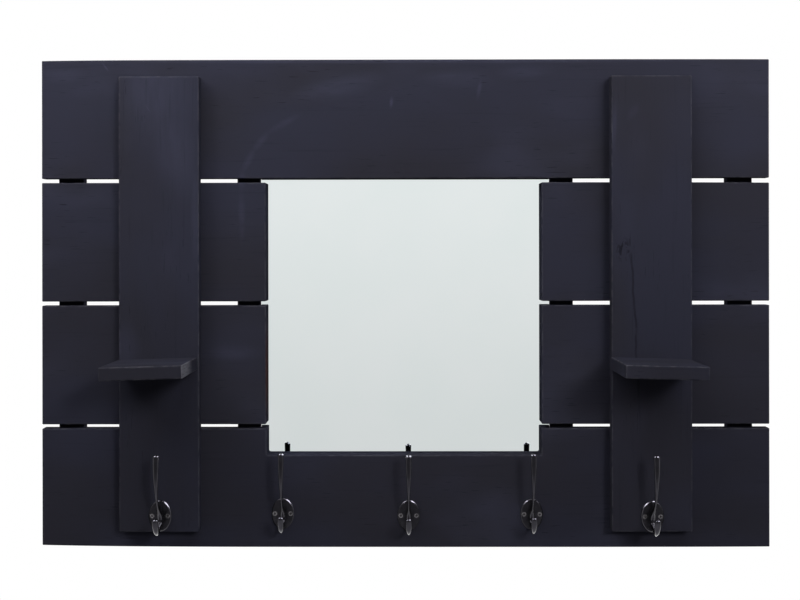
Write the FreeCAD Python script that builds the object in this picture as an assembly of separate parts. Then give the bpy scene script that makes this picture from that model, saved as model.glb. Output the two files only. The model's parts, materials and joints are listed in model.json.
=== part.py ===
import FreeCAD, Part

import math
import os

from FreeCAD import Placement, Rotation, Vector

# Wall panel of painted planks around a square mirror, with two block shelves and five double coat hooks.
# Sizes are in millimetres and angles in degrees. +X is to the viewer's right, +Y goes into the wall and
# +Z is up. The origin is on the wall plane, which is the rear face of the battens, at the middle of the
# panel's width and height.

# Planks, laid in courses from the bottom up, with an open gap between them. The top and bottom planks run
# the full width, and the courses between them are cut short at the mirror.
COURSES = ("bottom", "lower", "upper", "top")
PANEL_WIDTH = 914.4
PLANK_WIDTH = 149.5
PLANK_GAP = 5.1
PLANK_THICKNESS = 16.0
BOARD_EASE = 0.8

# Square opening for the mirror, a little to the left of the panel's middle, with a notch in the bottom
# plank that is a little narrower.
OPENING_WIDTH = 347.0
OPENING_CENTRE_X = -1.8
NOTCH_SIDE_LIP = 0.6
NOTCH_DEPTH = 34.0
NOTCH_CORNER_RADIUS = 2.5

# Glass and its backing board, which lap behind the planks and stop short of the inner battens.
GLASS_THICKNESS = 3.0
BACKING_THICKNESS = 3.0
GLASS_SIDE_LAP = 9.0
GLASS_TOP_LAP = 8.2
GLASS_BOTTOM_LAP = 8.5
GLASS_SIDE_GAP = 2.1
BACKING_MARGIN = 0.5

# Upright battens behind the planks.
BATTEN_THICKNESS = 16.0
BATTEN_END_INSET = 10.0
INNER_BATTEN_WIDTH = 28.4
OUTER_BATTEN_WIDTH = 31.5
OUTER_BATTEN_EDGE_INSET = 17.1

# Upright boards on the front.
FRONT_BOARD_WIDTH = 100.0
FRONT_BOARD_THICKNESS = 16.0
FRONT_BOARD_END_INSET = 23.0
FRONT_BOARD_EDGE_INSET = 100.6

# Block shelves, butted against the front boards. Each one droops a little to its outer side.
SHELF_WIDTH = 97.5
SHELF_DEPTH = 100.0
SHELF_THICKNESS = 16.0
SHELF_TOP_ABOVE_COURSE = 84.4
SHELF_SIDE_SHIFT = -2.0
SHELF_DROOPS = {"left": -1.7, "right": 1.5}

# Cast double hooks: a bevelled oval plate with a raised rib, a long upper arm and a short lower prong.
# The row is evenly spaced between the front boards' middles, and each hook is off its place by a shift
# (across, up). The row's plates stand just above the front boards' lower ends.
HOOK_SHIFTS = ((1.5, 0.6), (-0.7, 0.0), (4.0, -2.6), (5.1, -1.1), (0.1, -0.5))
HOOK_END_MARGIN = 0.7
HOOK_PLATE_WIDTH = 28.0
HOOK_PLATE_HEIGHT = 38.6
HOOK_PLATE_THICKNESS = 3.0
HOOK_PLATE_BEVEL = 1.0
HOOK_RIB_WIDTH = 6.5
HOOK_RIB_HEIGHT = 1.5
HOOK_RIB_END_INSET = 1.6
HOOK_SCREW_EDGE_INSET = 4.2

# Upper arm. Its reach is measured from the mounting face and its rise from the plate's middle. Each
# station gives its share of the way from the plate's face to the reach, its share of the rise, and the
# bar's width and depth there.
UPPER_ARM_REACH = 28.0
UPPER_ARM_RISE = 77.0
UPPER_ARM_STATIONS = (
    (0.01, -0.05, 6.0, 3.6),
    (0.20, 0.08, 5.6, 7.2),
    (0.47, 0.18, 3.2, 6.6),
    (0.74, 0.31, 3.2, 5.4),
    (0.92, 0.49, 4.6, 4.6),
    (1.00, 0.71, 6.2, 4.2),
    (1.00, 0.88, 7.2, 4.3),
    (0.97, 1.00, 7.6, 4.8),
)
UPPER_ARM_TIP = 3.0

# Lower prong, in the same way, with its drop counted down from the plate's middle.
LOWER_PRONG_REACH = 33.0
LOWER_PRONG_DROP = 17.8
LOWER_PRONG_STATIONS = (
    (0.01, 0.50, 5.6, 4.4),
    (0.20, 0.80, 4.2, 6.2),
    (0.46, 1.00, 3.2, 5.4),
    (0.71, 0.93, 4.8, 4.6),
    (0.89, 0.62, 6.6, 4.2),
    (0.98, 0.26, 7.1, 4.2),
    (1.00, -0.02, 6.8, 4.4),
)
LOWER_PRONG_TIP = 2.2
TIP_SECTION_ANGLES = (30, 55, 76)

# Offset clips that hold the glass and its backing to the planks.
CLIP_WIDTH = 12.0
CLIP_SHEET = 1.5
CLIP_FOOT_LENGTH = 16.0
CLIP_LAP = 7.0
CLIP_GAP = 0.3
CLIP_SPACING = 120.0

# Strap hangers behind the top plank, midway between the battens, each with a swinging D-shaped ring.
HANGER_PIVOT_BELOW_TOP = 40.0
HANGER_SHEET = 1.0
HANGER_STRAP_WIDTH = 14.0
HANGER_SCREW_MARGIN = 3.3
HANGER_SCREW_SPACING = 11.0
HANGER_END_MARGIN = 6.0
RING_WIRE_RADIUS = 1.5
RING_CORNER_RADIUS = 4.0
RING_SIDE_LENGTH = 4.5
RING_SIDE_CLEARANCE = 1.5
RING_RUNNING_CLEARANCE = 0.08
RING_REST_GAP = 0.3

# Fasteners. A flat head is sunk flush, a pan head stands on its seat and a brad is set below the surface.
# Points stop short of the far face of the last board by the stop, except in the shelves.
FASTENER_STOP = 4.0
BATTEN_SCREW_RADIUS = 1.9
BATTEN_SCREW_HEAD_RADIUS = 3.8
BATTEN_SCREW_EDGE_INSET = 28.0
SHELF_SCREW_BITE = 36.0
SHELF_SCREW_RADIUS = 2.1
SHELF_SCREW_HEAD_RADIUS = 4.1
SHELF_SCREW_SIDE_INSET = 21.0
HOOK_SCREW_RADIUS = 1.5
HOOK_SCREW_HEAD_RADIUS = 2.8
PAN_SCREW_RADIUS = 1.6
PAN_HEAD_RADIUS = 3.2
PAN_HEAD_HEIGHT = 2.0
PAN_HEAD_CROWN = 1.0
FLAT_HEAD_RIM = 0.4
SCREW_POINT_LENGTH = 4.0
RECESS_WIDTH = 0.8
RECESS_DEPTH = 1.2
RECESS_END_MARGIN = 1.2
BRAD_RADIUS = 0.7
BRAD_HEAD_RADIUS = 1.0
BRAD_HEAD_HEIGHT = 0.6
BRAD_SET_DEPTH = 0.6
BRAD_POINT_LENGTH = 1.6
HOLE_CLEARANCE = 0.05
PASSING_CLEARANCE = 0.2

# Brads of each front board: a pair near the upper and the lower edge of every plank that it crosses, and
# a third brad in the middle of the top row.
BRAD_SIDE_INSET = 12.0
BRAD_EDGE_INSET = 15.0
BRAD_TOP_ROW_BELOW_BOARD_END = 11.0

# Worked-out sizes and places.
TOP_COURSE = len(COURSES) - 1
PANEL_HEIGHT = len(COURSES) * PLANK_WIDTH + TOP_COURSE * PLANK_GAP
PANEL_TOP = PANEL_HEIGHT / 2
PANEL_BOTTOM = -PANEL_HEIGHT / 2
PLANK_BACK = -BATTEN_THICKNESS
PLANK_FRONT = PLANK_BACK - PLANK_THICKNESS
BOARD_FRONT = PLANK_FRONT - FRONT_BOARD_THICKNESS
NOTCH_FLOOR = PANEL_BOTTOM + PLANK_WIDTH - NOTCH_DEPTH
GLASS_HALF_WIDTH = OPENING_WIDTH / 2 + GLASS_SIDE_LAP
GLASS_BOTTOM = NOTCH_FLOOR - GLASS_BOTTOM_LAP
GLASS_TOP = PANEL_TOP - PLANK_WIDTH + GLASS_TOP_LAP
GLASS_BACK = PLANK_BACK + GLASS_THICKNESS
BACKING_BACK = GLASS_BACK + BACKING_THICKNESS
INNER_BATTEN_CENTRE_X = GLASS_HALF_WIDTH + GLASS_SIDE_GAP + INNER_BATTEN_WIDTH / 2
OUTER_BATTEN_CENTRE_X = PANEL_WIDTH / 2 - OUTER_BATTEN_EDGE_INSET - OUTER_BATTEN_WIDTH / 2
FRONT_BOARD_CENTRE_X = PANEL_WIDTH / 2 - FRONT_BOARD_EDGE_INSET - FRONT_BOARD_WIDTH / 2
HANGER_CENTRE_X = (INNER_BATTEN_CENTRE_X + OUTER_BATTEN_CENTRE_X) / 2
HOOK_ROW_HEIGHT = PANEL_BOTTOM + FRONT_BOARD_END_INSET + HOOK_END_MARGIN + HOOK_PLATE_HEIGHT / 2
HOOK_SCREW_OFFSET = HOOK_PLATE_WIDTH / 2 - HOOK_SCREW_EDGE_INSET
SHELF_SCREW_OFFSET = SHELF_WIDTH / 2 - SHELF_SCREW_SIDE_INSET
KNUCKLE_BORE_RADIUS = RING_WIRE_RADIUS + RING_RUNNING_CLEARANCE
HANGER_PIVOT_Y = PLANK_BACK + KNUCKLE_BORE_RADIUS + HANGER_SHEET
HANGER_PIVOT_Z = PANEL_TOP - HANGER_PIVOT_BELOW_TOP
STRAP_BACK = PLANK_BACK + 2 * HANGER_SHEET
RING_BAR_HALF = HANGER_STRAP_WIDTH / 2 + RING_SIDE_CLEARANCE
RING_BOW_RADIUS = RING_BAR_HALF + RING_CORNER_RADIUS
RING_DROP = RING_CORNER_RADIUS + RING_SIDE_LENGTH + RING_BOW_RADIUS
HANGER_FIRST_SCREW = RING_DROP + RING_WIRE_RADIUS + PAN_HEAD_RADIUS + HANGER_SCREW_MARGIN
HANGER_STRAP_LENGTH = HANGER_FIRST_SCREW + HANGER_SCREW_SPACING + HANGER_END_MARGIN
BATTEN_SCREW_LENGTH = BATTEN_THICKNESS + PLANK_THICKNESS - FASTENER_STOP
SHELF_SCREW_LENGTH = PLANK_THICKNESS + FRONT_BOARD_THICKNESS + SHELF_SCREW_BITE
HOOK_SCREW_LENGTH = HOOK_PLATE_THICKNESS + min(PLANK_THICKNESS, FRONT_BOARD_THICKNESS) - FASTENER_STOP
CLIP_SCREW_LENGTH = CLIP_SHEET + PLANK_THICKNESS - FASTENER_STOP
HANGER_SCREW_LENGTH = 2 * HANGER_SHEET + PLANK_THICKNESS - FASTENER_STOP
BRAD_TIP_DEPTH = FRONT_BOARD_THICKNESS + PLANK_THICKNESS - FASTENER_STOP

SIDEWAYS = Vector(1, 0, 0)
INTO_WALL = Vector(0, 1, 0)
OUT_OF_WALL = Vector(0, -1, 0)
UP = Vector(0, 0, 1)
SIDES = {"left": -1, "right": 1}


def course_bottom(course):
    """Height of the lower edge of a course."""
    return PANEL_BOTTOM + course * (PLANK_WIDTH + PLANK_GAP)


def course_top(course):
    """Height of the upper edge of a course."""
    return course_bottom(course) + PLANK_WIDTH


def block(x_range, y_range, z_range):
    """Plain box between three pairs of limits, given in either order."""
    low = Vector(min(x_range), min(y_range), min(z_range))
    high = Vector(max(x_range), max(y_range), max(z_range))
    size = high - low
    return Part.makeBox(size.x, size.y, size.z, low)


def sawn_board(x_range, y_range, z_range):
    """Box with every arris eased."""
    board = block(x_range, y_range, z_range)
    return board.makeFillet(BOARD_EASE, board.Edges)


def drilled(solid, drills):
    """The solid less every drill that reaches its bounding box."""
    near = [drill for drill in drills if drill.BoundBox.intersect(solid.BoundBox)]
    return solid.cut(near) if near else solid


def turned(points):
    """Solid of revolution about Z through (radius, height) points that start and end on the axis."""
    outline = [Vector(radius, 0, height) for radius, height in points]
    outline.append(outline[0])
    return Part.Face(Part.makePolygon(outline)).revolve(Vector(), UP, 360)


def placed(shape, point, direction):
    """Copy of a shape made along +Z, with its origin at the point and its +Z along the direction."""
    copy = shape.copy()
    copy.Placement = Placement(point, Rotation(UP, direction))
    return copy


def moved(shape, x=0, y=0, z=0):
    """Copy of a shape, shifted."""
    copy = shape.copy()
    copy.translate(Vector(x, y, z))
    return copy


# Fasteners, along +Z from the plane of their seat at zero height.

def cross_recess(head_radius, top):
    """Cutter for the driver recess of a head whose top is at the given height."""
    half_length = head_radius - RECESS_END_MARGIN
    half_width = RECESS_WIDTH / 2
    depth = (top, top + RECESS_DEPTH)
    slot = block((-half_length, half_length), (-half_width, half_width), depth)
    crossing = block((-half_width, half_width), (-half_length, half_length), depth)
    return slot.fuse(crossing)


def flat_head_screw(length, radius, head_radius):
    """Screw with a flat head, flush with its seat."""
    cone_end = FLAT_HEAD_RIM + head_radius - radius
    body = turned((
        (0, 0), (head_radius, 0), (head_radius, FLAT_HEAD_RIM), (radius, cone_end),
        (radius, length - SCREW_POINT_LENGTH), (0, length),
    ))
    return body.cut(cross_recess(head_radius, 0))


def flat_head_drill(length, radius, head_radius):
    """Hole and countersink for a flat-head screw, open past its seat."""
    wide = head_radius + HOLE_CLEARANCE
    narrow = radius + HOLE_CLEARANCE
    rim = FLAT_HEAD_RIM + HOLE_CLEARANCE
    return turned((
        (0, -head_radius), (wide, -head_radius), (wide, rim), (narrow, rim + wide - narrow),
        (narrow, length - SCREW_POINT_LENGTH), (0, length + HOLE_CLEARANCE),
    ))


def pan_head_screw(length):
    """Screw with a domed head that stands on its seat."""
    shoulder = PAN_HEAD_CROWN - PAN_HEAD_HEIGHT
    body = turned((
        (0, -PAN_HEAD_HEIGHT), (PAN_HEAD_RADIUS - PAN_HEAD_CROWN, -PAN_HEAD_HEIGHT),
        (PAN_HEAD_RADIUS, shoulder), (PAN_HEAD_RADIUS, 0), (PAN_SCREW_RADIUS, 0),
        (PAN_SCREW_RADIUS, length - SCREW_POINT_LENGTH), (0, length),
    ))
    return body.cut(cross_recess(PAN_HEAD_RADIUS, -PAN_HEAD_HEIGHT))


def pan_head_drill(length):
    """Pilot hole for a pan-head screw's shank, open past its seat."""
    wide = PAN_SCREW_RADIUS + HOLE_CLEARANCE
    return turned((
        (0, -PAN_HEAD_HEIGHT), (wide, -PAN_HEAD_HEIGHT), (wide, length - SCREW_POINT_LENGTH),
        (0, length + HOLE_CLEARANCE),
    ))


def brad():
    """Small-headed nail whose head is set below the surface at zero height."""
    head_end = BRAD_SET_DEPTH + BRAD_HEAD_HEIGHT
    return turned((
        (0, BRAD_SET_DEPTH), (BRAD_HEAD_RADIUS, BRAD_SET_DEPTH), (BRAD_HEAD_RADIUS, head_end),
        (BRAD_RADIUS, head_end), (BRAD_RADIUS, BRAD_TIP_DEPTH - BRAD_POINT_LENGTH), (0, BRAD_TIP_DEPTH),
    ))


def brad_drill():
    """Hole that a brad makes, open at the surface."""
    wide = BRAD_HEAD_RADIUS + HOLE_CLEARANCE
    narrow = BRAD_RADIUS + HOLE_CLEARANCE
    head_end = BRAD_SET_DEPTH + BRAD_HEAD_HEIGHT + HOLE_CLEARANCE
    return turned((
        (0, -BRAD_SET_DEPTH), (wide, -BRAD_SET_DEPTH), (wide, head_end), (narrow, head_end),
        (narrow, BRAD_TIP_DEPTH - BRAD_POINT_LENGTH), (0, BRAD_TIP_DEPTH + HOLE_CLEARANCE),
    ))


# Places of the hooks, shelves and fasteners.

def batten_screw_points():
    """Two screws through every crossing of a batten and a plank, on the battens' rear faces."""
    points = []
    for centre in (INNER_BATTEN_CENTRE_X, OUTER_BATTEN_CENTRE_X):
        for side in SIDES.values():
            for course in range(len(COURSES)):
                low = course_bottom(course) + BATTEN_SCREW_EDGE_INSET
                high = course_top(course) - BATTEN_SCREW_EDGE_INSET
                points += [Vector(side * centre, 0, height) for height in (low, high)]
    return points


def brad_points():
    """Brads of both front boards, on the boards' front faces."""
    top_row = PANEL_TOP - FRONT_BOARD_END_INSET - BRAD_TOP_ROW_BELOW_BOARD_END
    bottom_row = PANEL_BOTTOM + FRONT_BOARD_END_INSET + BRAD_EDGE_INSET
    heights = [bottom_row, top_row]
    heights += [course_bottom(course) + BRAD_EDGE_INSET for course in range(1, len(COURSES))]
    heights += [course_top(course) - BRAD_EDGE_INSET for course in range(TOP_COURSE)]
    spread = FRONT_BOARD_WIDTH / 2 - BRAD_SIDE_INSET
    points = []
    for side in SIDES.values():
        centre = side * FRONT_BOARD_CENTRE_X
        points.append(Vector(centre, BOARD_FRONT, top_row))
        for height in heights:
            points += [Vector(centre + shift, BOARD_FRONT, height) for shift in (-spread, spread)]
    return points


def clip_foot_height(direction):
    """Height of the middle of a clip's foot. Direction 1 is above the glass and -1 below it."""
    edge = GLASS_TOP if direction > 0 else GLASS_BOTTOM
    return edge + direction * (CLIP_GAP + CLIP_SHEET + CLIP_FOOT_LENGTH / 2)


def clip_screw_points(direction):
    """Middles of a row of clips' feet, on the feet's rear faces."""
    height = clip_foot_height(direction)
    return [Vector(step * CLIP_SPACING, PLANK_BACK + CLIP_SHEET, height) for step in (-1, 0, 1)]


def hanger_screw_points():
    """Two screws in each hanger strap, on the strap's rear face."""
    points = []
    for side in SIDES.values():
        for drop in (HANGER_FIRST_SCREW, HANGER_FIRST_SCREW + HANGER_SCREW_SPACING):
            points.append(Vector(side * HANGER_CENTRE_X, STRAP_BACK, HANGER_PIVOT_Z - drop))
    return points


def shelf_placement(name):
    """Place of a shelf, whose own origin is the middle of its top rear edge."""
    across = SIDES[name] * FRONT_BOARD_CENTRE_X + SHELF_SIDE_SHIFT
    point = Vector(across, BOARD_FRONT, course_bottom(1) + SHELF_TOP_ABOVE_COURSE)
    return Placement(point, Rotation(INTO_WALL, SHELF_DROOPS[name]))


def shelf_screw_points():
    """Two screws into each shelf, level with its middle, on the planks' rear faces."""
    through = PLANK_BACK - BOARD_FRONT
    points = []
    for name in SIDES:
        place = shelf_placement(name)
        for offset in (-SHELF_SCREW_OFFSET, SHELF_SCREW_OFFSET):
            points.append(place.multVec(Vector(offset, through, -SHELF_THICKNESS / 2)))
    return points


def hook_points():
    """Middle of each hook plate's mounting face. The outermost hooks are on the front boards."""
    last = len(HOOK_SHIFTS) - 1
    spacing = 2 * FRONT_BOARD_CENTRE_X / last
    points = []
    for number, (aside, above) in enumerate(HOOK_SHIFTS):
        across = number * spacing - FRONT_BOARD_CENTRE_X + aside
        face = BOARD_FRONT if number in (0, last) else PLANK_FRONT
        points.append(Vector(across, face, HOOK_ROW_HEIGHT + above))
    return points


def hook_screw_seats():
    """Middles of a hook's two screw heads, from the middle of its mounting face."""
    return [Vector(offset, -HOOK_PLATE_THICKNESS, 0) for offset in (-HOOK_SCREW_OFFSET, HOOK_SCREW_OFFSET)]


# Pieces.

def short_plank_range(side):
    """Limits across of a short plank on one side of the mirror."""
    return (OPENING_CENTRE_X + side * OPENING_WIDTH / 2, side * PANEL_WIDTH / 2)


def bottom_plank(full_length, depth, height):
    """Plank with the mirror's notch cut into its upper edge."""
    notch_half = OPENING_WIDTH / 2 - NOTCH_SIDE_LIP
    notch_range = (OPENING_CENTRE_X - notch_half, OPENING_CENTRE_X + notch_half)
    notch = block(notch_range, depth, (NOTCH_FLOOR, height[1] + NOTCH_DEPTH))
    lower_corners = [
        edge for edge in notch.Edges
        if edge.BoundBox.YLength > PLANK_THICKNESS / 2 and edge.CenterOfMass.z < height[1]
    ]
    return sawn_board(full_length, depth, height).cut(notch.makeFillet(NOTCH_CORNER_RADIUS, lower_corners))


def build_planks():
    """The four courses."""
    depth = (PLANK_FRONT, PLANK_BACK)
    full_length = (-PANEL_WIDTH / 2, PANEL_WIDTH / 2)
    planks = {}
    for course, name in enumerate(COURSES):
        height = (course_bottom(course), course_top(course))
        if course == 0:
            planks[f"plank_{name}"] = bottom_plank(full_length, depth, height)
        elif course == TOP_COURSE:
            planks[f"plank_{name}"] = sawn_board(full_length, depth, height)
        else:
            for side_name, side in SIDES.items():
                planks[f"plank_{name}_{side_name}"] = sawn_board(short_plank_range(side), depth, height)
    return planks


def build_uprights():
    """Battens and front boards."""
    batten_depth = (PLANK_BACK, 0)
    batten_height = (PANEL_BOTTOM + BATTEN_END_INSET, PANEL_TOP - BATTEN_END_INSET)
    board_depth = (BOARD_FRONT, PLANK_FRONT)
    board_height = (PANEL_BOTTOM + FRONT_BOARD_END_INSET, PANEL_TOP - FRONT_BOARD_END_INSET)
    kinds = {
        "inner_batten": (INNER_BATTEN_CENTRE_X, INNER_BATTEN_WIDTH, batten_depth, batten_height),
        "outer_batten": (OUTER_BATTEN_CENTRE_X, OUTER_BATTEN_WIDTH, batten_depth, batten_height),
        "front_board": (FRONT_BOARD_CENTRE_X, FRONT_BOARD_WIDTH, board_depth, board_height),
    }
    uprights = {}
    for side_name, side in SIDES.items():
        for kind, (centre, width, depth, height) in kinds.items():
            across = (side * centre - width / 2, side * centre + width / 2)
            uprights[f"{kind}_{side_name}"] = sawn_board(across, depth, height)
    return uprights


def build_shelves():
    """Block shelves on the front boards."""
    shelves = {}
    for side_name in SIDES:
        shelf = sawn_board((-SHELF_WIDTH / 2, SHELF_WIDTH / 2), (-SHELF_DEPTH, 0), (-SHELF_THICKNESS, 0))
        shelf.Placement = shelf_placement(side_name)
        shelves[f"shelf_{side_name}"] = shelf
    return shelves


def build_mirror():
    """Glass and backing board."""
    backing_half = GLASS_HALF_WIDTH - BACKING_MARGIN
    backing_height = (GLASS_BOTTOM + BACKING_MARGIN, GLASS_TOP - BACKING_MARGIN)
    glass_width = (-GLASS_HALF_WIDTH, GLASS_HALF_WIDTH)
    return {
        "mirror_glass": block(glass_width, (PLANK_BACK, GLASS_BACK), (GLASS_BOTTOM, GLASS_TOP)),
        "backing_board": block((-backing_half, backing_half), (GLASS_BACK, BACKING_BACK), backing_height),
    }


def mirror_clip(direction):
    """Offset clip on the planks' rear face, about X = 0, with a hole in its foot."""
    edge = GLASS_TOP if direction > 0 else GLASS_BOTTOM
    riser = edge + direction * CLIP_GAP
    outer = riser + direction * CLIP_SHEET
    across = (-CLIP_WIDTH / 2, CLIP_WIDTH / 2)
    foot_depth = (PLANK_BACK, PLANK_BACK + CLIP_SHEET)
    tongue_depth = (BACKING_BACK, BACKING_BACK + CLIP_SHEET)
    foot = block(across, foot_depth, (riser, outer + direction * CLIP_FOOT_LENGTH))
    wall = block(across, (PLANK_BACK, BACKING_BACK + CLIP_SHEET), (riser, outer))
    tongue = block(across, tongue_depth, (edge - direction * CLIP_LAP, outer))
    seat = Vector(0, PLANK_BACK, clip_foot_height(direction))
    hole = Part.makeCylinder(PAN_SCREW_RADIUS + PASSING_CLEARANCE, CLIP_SHEET, seat, INTO_WALL)
    return foot.fuse([wall, tongue]).removeSplitter().cut(hole)


def hanger_strap():
    """Folded strap on the top plank's rear face, with a knuckle round the ring's bar, about X = 0."""
    half = HANGER_STRAP_WIDTH / 2
    end = HANGER_PIVOT_Z - HANGER_STRAP_LENGTH
    flat = block((-half, half), (PLANK_BACK, STRAP_BACK), (end, HANGER_PIVOT_Z))
    corners = [
        edge for edge in flat.Edges
        if edge.BoundBox.YLength > HANGER_SHEET and edge.CenterOfMass.z < HANGER_PIVOT_Z - half
    ]
    flat = flat.makeFillet(half - HANGER_SHEET, corners)
    knuckle_end = Vector(-half, HANGER_PIVOT_Y, HANGER_PIVOT_Z)
    knuckle_radius = KNUCKLE_BORE_RADIUS + HANGER_SHEET
    knuckle = Part.makeCylinder(knuckle_radius, HANGER_STRAP_WIDTH, knuckle_end, SIDEWAYS)
    cutters = [Part.makeCylinder(KNUCKLE_BORE_RADIUS, HANGER_STRAP_WIDTH, knuckle_end, SIDEWAYS)]
    for drop in (HANGER_FIRST_SCREW, HANGER_FIRST_SCREW + HANGER_SCREW_SPACING):
        seat = Vector(0, PLANK_BACK, HANGER_PIVOT_Z - drop)
        hole_radius = PAN_SCREW_RADIUS + PASSING_CLEARANCE
        cutters.append(Part.makeCylinder(hole_radius, STRAP_BACK - PLANK_BACK, seat, INTO_WALL))
    return flat.fuse(knuckle).cut(cutters)


def wire_bend(radius, angle, point, start):
    """Bent wire about a point in the upright X-Z plane, from a starting angle above +X."""
    bend = Part.makeTorus(radius, RING_WIRE_RADIUS, Vector(), UP, -180, 180, angle)
    bend.Placement = Placement(point, Rotation(SIDEWAYS, 90) * Rotation(UP, start))
    return bend


def hanger_ring():
    """D-shaped wire ring that leans on its strap, with its bar on the hinge line, about X = 0."""
    side_end = -RING_CORNER_RADIUS - RING_SIDE_LENGTH
    bar_end = Vector(-RING_BAR_HALF, 0, 0)
    bar = Part.makeCylinder(RING_WIRE_RADIUS, 2 * RING_BAR_HALF, bar_end, SIDEWAYS)
    parts = [wire_bend(RING_BOW_RADIUS, 180, Vector(0, 0, side_end), 180)]
    for side, start in ((1, 0), (-1, 90)):
        corner = Vector(side * RING_BAR_HALF, 0, -RING_CORNER_RADIUS)
        parts.append(wire_bend(RING_CORNER_RADIUS, 90, corner, start))
        foot = Vector(side * RING_BOW_RADIUS, 0, side_end)
        parts.append(Part.makeCylinder(RING_WIRE_RADIUS, RING_SIDE_LENGTH, foot, UP))
    ring = bar.fuse(parts).removeSplitter()
    stand_off = STRAP_BACK + RING_WIRE_RADIUS + RING_REST_GAP - HANGER_PIVOT_Y
    lean = math.degrees(math.asin(stand_off / RING_DROP))
    ring.Placement = Placement(Vector(0, HANGER_PIVOT_Y, HANGER_PIVOT_Z), Rotation(SIDEWAYS, lean))
    return ring


def oval(width, height, out):
    """Upright ellipse at a distance in front of a hook's mounting face."""
    middle = Vector(0, -out, 0)
    ellipse = Part.Ellipse(middle + UP * (height / 2), middle + SIDEWAYS * (width / 2), middle)
    return Part.Wire(ellipse.toShape())


def hook_plate():
    """Oval plate with a bevelled rim and a rib up its middle."""
    shoulder = HOOK_PLATE_THICKNESS - HOOK_PLATE_BEVEL
    face_width = HOOK_PLATE_WIDTH - 2 * HOOK_PLATE_BEVEL
    face_height = HOOK_PLATE_HEIGHT - 2 * HOOK_PLATE_BEVEL
    base = Part.Face(oval(HOOK_PLATE_WIDTH, HOOK_PLATE_HEIGHT, 0)).extrude(OUT_OF_WALL * shoulder)
    rim = [oval(HOOK_PLATE_WIDTH, HOOK_PLATE_HEIGHT, shoulder)]
    rim.append(oval(face_width, face_height, HOOK_PLATE_THICKNESS))
    rib_front = HOOK_PLATE_THICKNESS + HOOK_RIB_HEIGHT
    rib_oval = oval(face_width, face_height - 2 * HOOK_RIB_END_INSET, shoulder)
    rib = Part.Face(rib_oval).extrude(OUT_OF_WALL * (rib_front - shoulder))
    rib_range = (-HOOK_RIB_WIDTH / 2, HOOK_RIB_WIDTH / 2)
    rib = rib.common(block(rib_range, (-rib_front, 0), (-HOOK_PLATE_HEIGHT, HOOK_PLATE_HEIGHT)))
    return base.fuse([Part.makeLoft(rim, True, True), rib])


def bar_section(centre, heading, width, depth):
    """Oval outline across a bar that runs along the heading in a hook's upright middle plane."""
    across = SIDEWAYS * (width / 2)
    through = heading.cross(SIDEWAYS) * (depth / 2)
    turns = [math.radians(angle) for angle in range(0, 360, 30)]
    ring = [centre + across * math.cos(turn) + through * math.sin(turn) for turn in turns]
    curve = Part.BSplineCurve()
    curve.interpolate(Points=ring, PeriodicFlag=True)
    return Part.Wire(curve.toShape())


def prong(stations, reach, rise, tip_length):
    """Smooth bar through oval sections, with a domed tip."""
    span = reach - HOOK_PLATE_THICKNESS
    centres = [
        Vector(0, -HOOK_PLATE_THICKNESS - out * span, up * rise)
        for out, up, width, depth in stations
    ]
    last = len(centres) - 1
    sections = []
    for index, (out, up, width, depth) in enumerate(stations):
        run = centres[min(index + 1, last)] - centres[max(index - 1, 0)]
        heading = run.normalize()
        sections.append(bar_section(centres[index], heading, width, depth))
    bar = Part.makeLoft(sections, True, False)
    dome = [sections[last]]
    for angle in TIP_SECTION_ANGLES:
        share = math.cos(math.radians(angle))
        centre = centres[last] + heading * tip_length * math.sin(math.radians(angle))
        dome.append(bar_section(centre, heading, width * share, depth * share))
    return bar.fuse(Part.makeLoft(dome, True, False))


def hook():
    """Double hook about the middle of its mounting face."""
    upper_arm = prong(UPPER_ARM_STATIONS, UPPER_ARM_REACH, UPPER_ARM_RISE, UPPER_ARM_TIP)
    lower_prong = prong(LOWER_PRONG_STATIONS, LOWER_PRONG_REACH, -LOWER_PRONG_DROP, LOWER_PRONG_TIP)
    drill = flat_head_drill(HOOK_SCREW_LENGTH, HOOK_SCREW_RADIUS, HOOK_SCREW_HEAD_RADIUS)
    drills = [placed(drill, seat, INTO_WALL) for seat in hook_screw_seats()]
    return hook_plate().fuse([upper_arm, lower_prong]).cut(drills)


def build_fittings():
    """Hooks, mirror clips and hangers."""
    fittings = {}
    cast = hook()
    for number, point in enumerate(hook_points(), start=1):
        fittings[f"hook_{number}"] = moved(cast, *point)
    for name, direction in (("mirror_clips_top", 1), ("mirror_clips_bottom", -1)):
        clip = mirror_clip(direction)
        clips = [moved(clip, x=point.x) for point in clip_screw_points(direction)]
        fittings[name] = Part.makeCompound(clips)
    strap = hanger_strap()
    ring = hanger_ring()
    for side_name, side in SIDES.items():
        fittings[f"hanger_strap_{side_name}"] = moved(strap, x=side * HANGER_CENTRE_X)
        fittings[f"hanger_ring_{side_name}"] = moved(ring, x=side * HANGER_CENTRE_X)
    return fittings


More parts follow.
